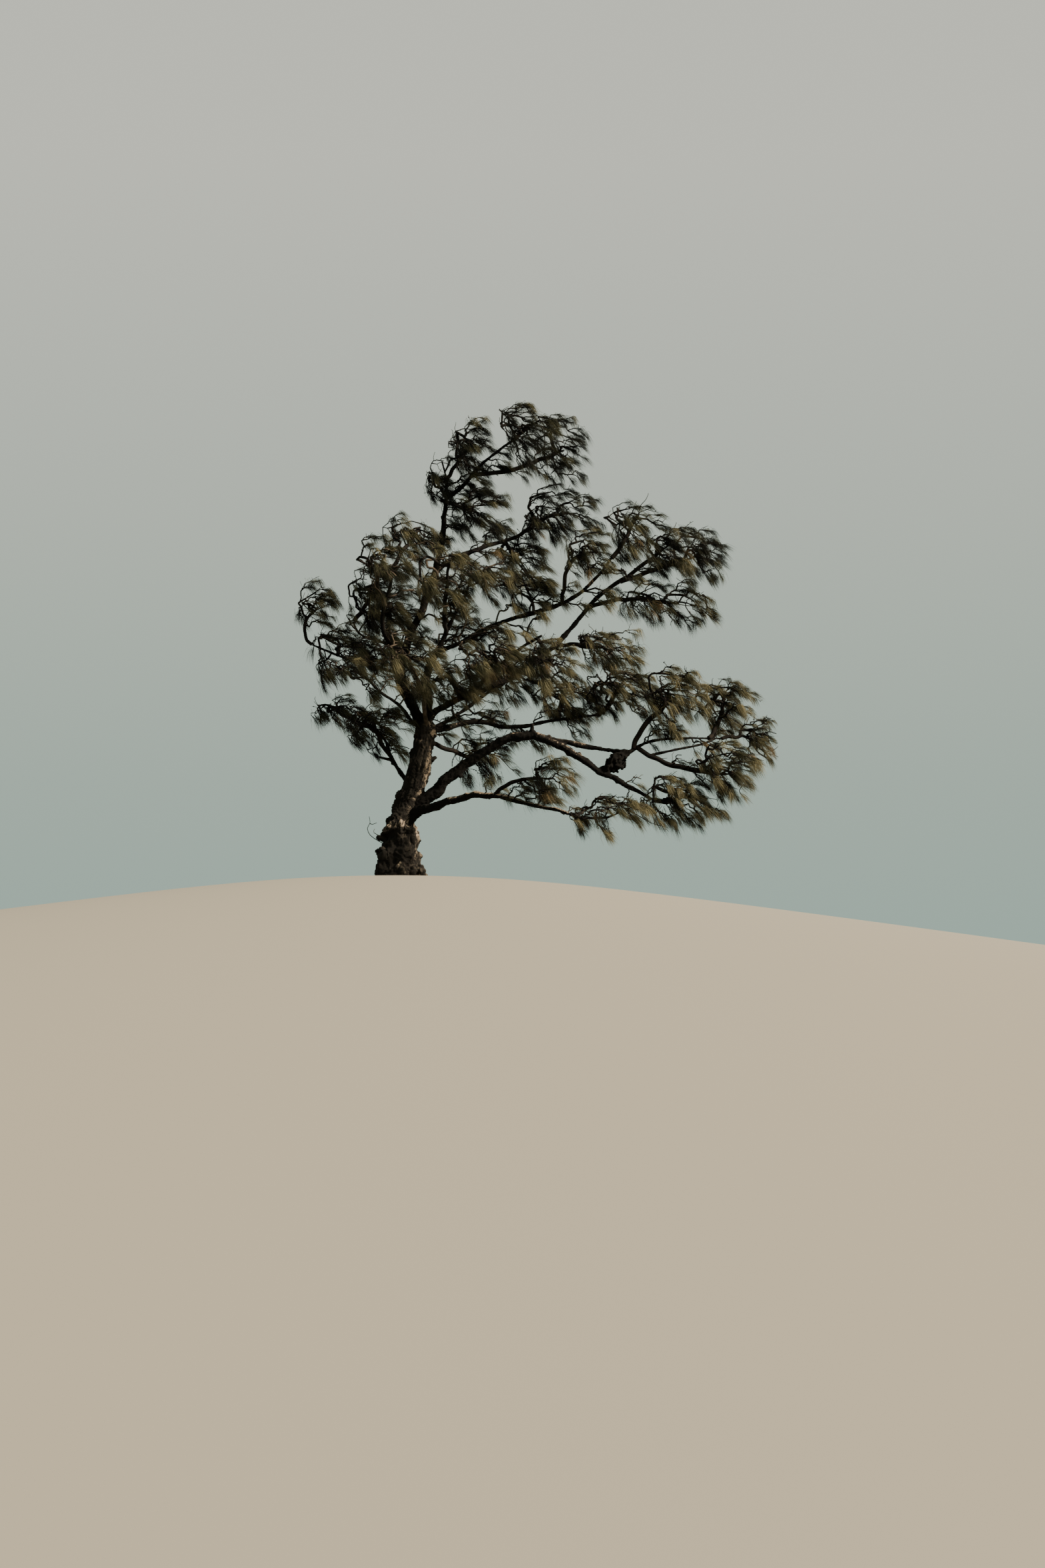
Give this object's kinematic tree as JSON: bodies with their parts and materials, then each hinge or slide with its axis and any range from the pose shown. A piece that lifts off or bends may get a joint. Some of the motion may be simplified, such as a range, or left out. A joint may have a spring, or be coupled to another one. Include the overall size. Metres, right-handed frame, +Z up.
{
  "type": "windswept casuarina tree",
  "caption": "Whole windswept casuarina tree with a burled trunk, low forked leaders, long arching boughs and open drooping needle masses.",
  "frame": {"origin": "middle of the flat cut at ground level under the trunk", "axes": "+Z up the trunk, +X down the wind, the way the boughs and needles are swept"},
  "size_m": [10.9393, 6.7346, 11.0821],
  "materials": {
    "bark": "rough furrowed bark",
    "needles": "dull fine needles"
  },
  "bodies": {
    "root": {"trunk": "bark", "leader_main": "bark", "leader_right": "bark", "bough_arch": "bark", "bough_reach": "bark", "bough_burl": "bark", "bough_low": "bark", "bough_level": "bark", "bough_east": "bark", "bough_mid": "bark", "bough_crest": "bark", "bough_sail": "bark", "bough_weather": "bark", "bough_west": "bark", "bough_crook": "bark", "bough_shoulder": "bark", "bough_lee": "bark", "bough_apron": "bark", "bough_back": "bark", "peak_west": "needles", "peak_top": "needles", "peak_east": "needles", "crown_west": "needles", "upper_east": "needles", "sail_tip": "needles", "sail_low": "needles", "weather_tip": "needles", "weather_low": "needles", "west_tip": "needles", "crook_tip": "needles", "crook_outer": "needles", "crook_inner": "needles", "front_low": "needles", "shoulder_tip": "needles", "lee_tip": "needles", "lee_low": "needles", "leader_near": "needles", "leader_tip": "needles", "mid_low": "needles", "mid_near": "needles", "mid_tip": "needles", "east_up": "needles", "east_tip": "needles", "east_spar": "needles", "east_crown": "needles", "apron_mid": "needles", "apron_tip": "needles", "level_tip": "needles", "level_mid": "needles", "burl_near": "needles", "burl_up": "needles", "burl_tip": "needles", "burl_hook": "needles", "reach_tip": "needles", "low_tip": "needles", "low_mid": "needles", "under_arch": "needles", "east_root": "needles", "back_tip": "needles", "back_west": "needles"}
  },
  "joints": []
}
